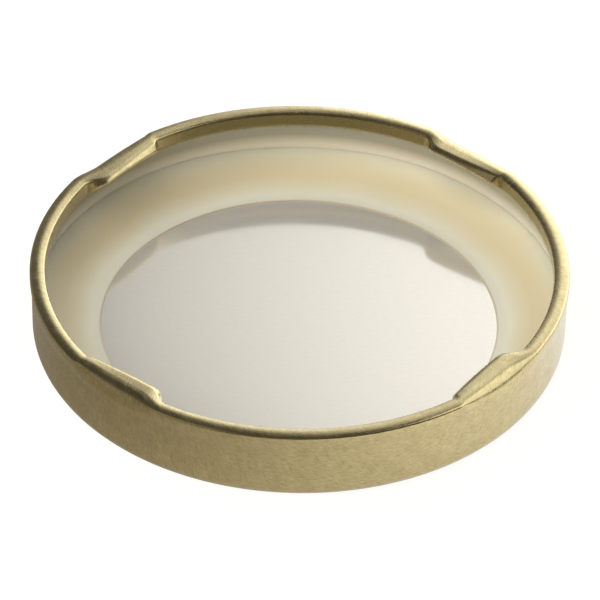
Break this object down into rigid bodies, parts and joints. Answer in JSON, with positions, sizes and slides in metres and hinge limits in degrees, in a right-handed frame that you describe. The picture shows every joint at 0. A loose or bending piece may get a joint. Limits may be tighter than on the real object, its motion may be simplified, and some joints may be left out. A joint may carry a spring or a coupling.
{
  "type": "lug cap",
  "caption": "Shallow round twist-off jar cap of drawn sheet metal, with an inward-curled rim, lugs pressed out of the curl and a flowed-in sealing ring.",
  "frame": {"origin": "centre of the raised ring of the closed face that the cap lies on, in the plane of that ring", "axes": "+Z out of the cap's open mouth; the first lug runs from 33.2 to 57.8 degrees from +X, and the others follow every 90 degrees"},
  "size_m": [0.072, 0.072, 0.0105],
  "materials": {
    "gold_tinplate": "brushed tinplate under gold lacquer outside and clear pale lacquer inside",
    "plastisol": "cream plastisol, smooth, low gloss"
  },
  "bodies": {
    "root": {"cap_shell": "gold_tinplate", "sealing_gasket": "plastisol"}
  },
  "joints": []
}
